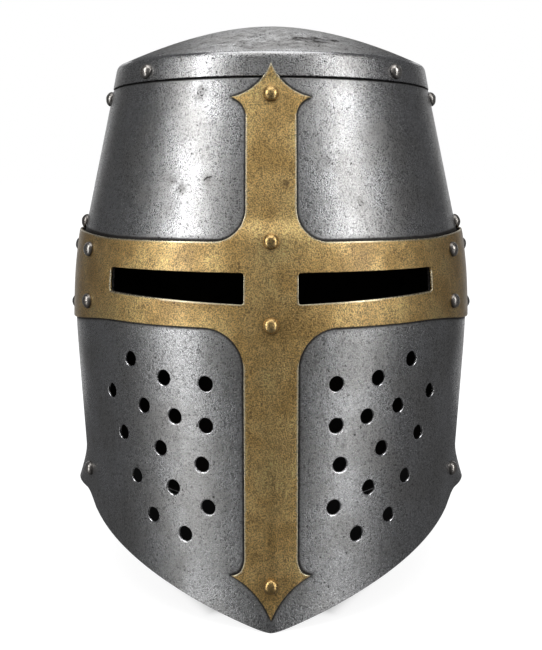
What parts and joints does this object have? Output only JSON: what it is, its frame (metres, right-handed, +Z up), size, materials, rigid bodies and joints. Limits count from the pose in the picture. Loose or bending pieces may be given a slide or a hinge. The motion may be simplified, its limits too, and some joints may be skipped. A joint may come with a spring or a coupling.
{
  "type": "great helm",
  "caption": "Great helm of riveted steel plates with a keeled face, a shallow domed crown, a brass cross round two eye slits, and round breathing holes.",
  "frame": {"origin": "on the surface that the helm stands on, under the middle of the helm's bounding box", "axes": "+Z up through the crown, -Y out of the face, +X to the wearer's left"},
  "size_m": [0.249, 0.2778, 0.3272],
  "materials": {
    "steel_plate": "satin, hand finished, with small dark pits and stains",
    "brass_sheet": "antiqued brown with brighter worn edges",
    "steel_rivet": "satin, rubbed bright on top",
    "brass_rivet": "rubbed brighter than the sheet"
  },
  "bodies": {
    "root": {"crown_plate": "steel_plate", "upper_front_plate": "steel_plate", "upper_back_plate": "steel_plate", "face_plate": "steel_plate", "nape_plate": "steel_plate", "brass_cross": "brass_sheet", "cross_rivet_head": "brass_rivet", "cross_rivet_brow": "brass_rivet", "cross_rivet_nose": "brass_rivet", "cross_rivet_foot": "brass_rivet", "arm_rivet_upper_left": "steel_rivet", "arm_rivet_upper_right": "steel_rivet", "arm_rivet_lower_left": "steel_rivet", "arm_rivet_lower_right": "steel_rivet", "arm_end_rivet_upper_left": "steel_rivet", "arm_end_rivet_upper_right": "steel_rivet", "arm_end_rivet_lower_left": "steel_rivet", "arm_end_rivet_lower_right": "steel_rivet", "seam_rivet_upper_left": "steel_rivet", "seam_rivet_upper_right": "steel_rivet", "seam_rivet_lower_left": "steel_rivet", "seam_rivet_lower_right": "steel_rivet", "corner_rivet_left": "steel_rivet", "corner_rivet_right": "steel_rivet", "crown_rivet_front_left": "steel_rivet", "crown_rivet_front_right": "steel_rivet", "crown_rivet_back_left": "steel_rivet", "crown_rivet_back_right": "steel_rivet", "crown_rivet_nape": "steel_rivet", "nape_rivet_outer_left": "steel_rivet", "nape_rivet_outer_right": "steel_rivet", "nape_rivet_inner_left": "steel_rivet", "nape_rivet_inner_right": "steel_rivet", "nape_rivet_middle": "steel_rivet"}
  },
  "joints": []
}
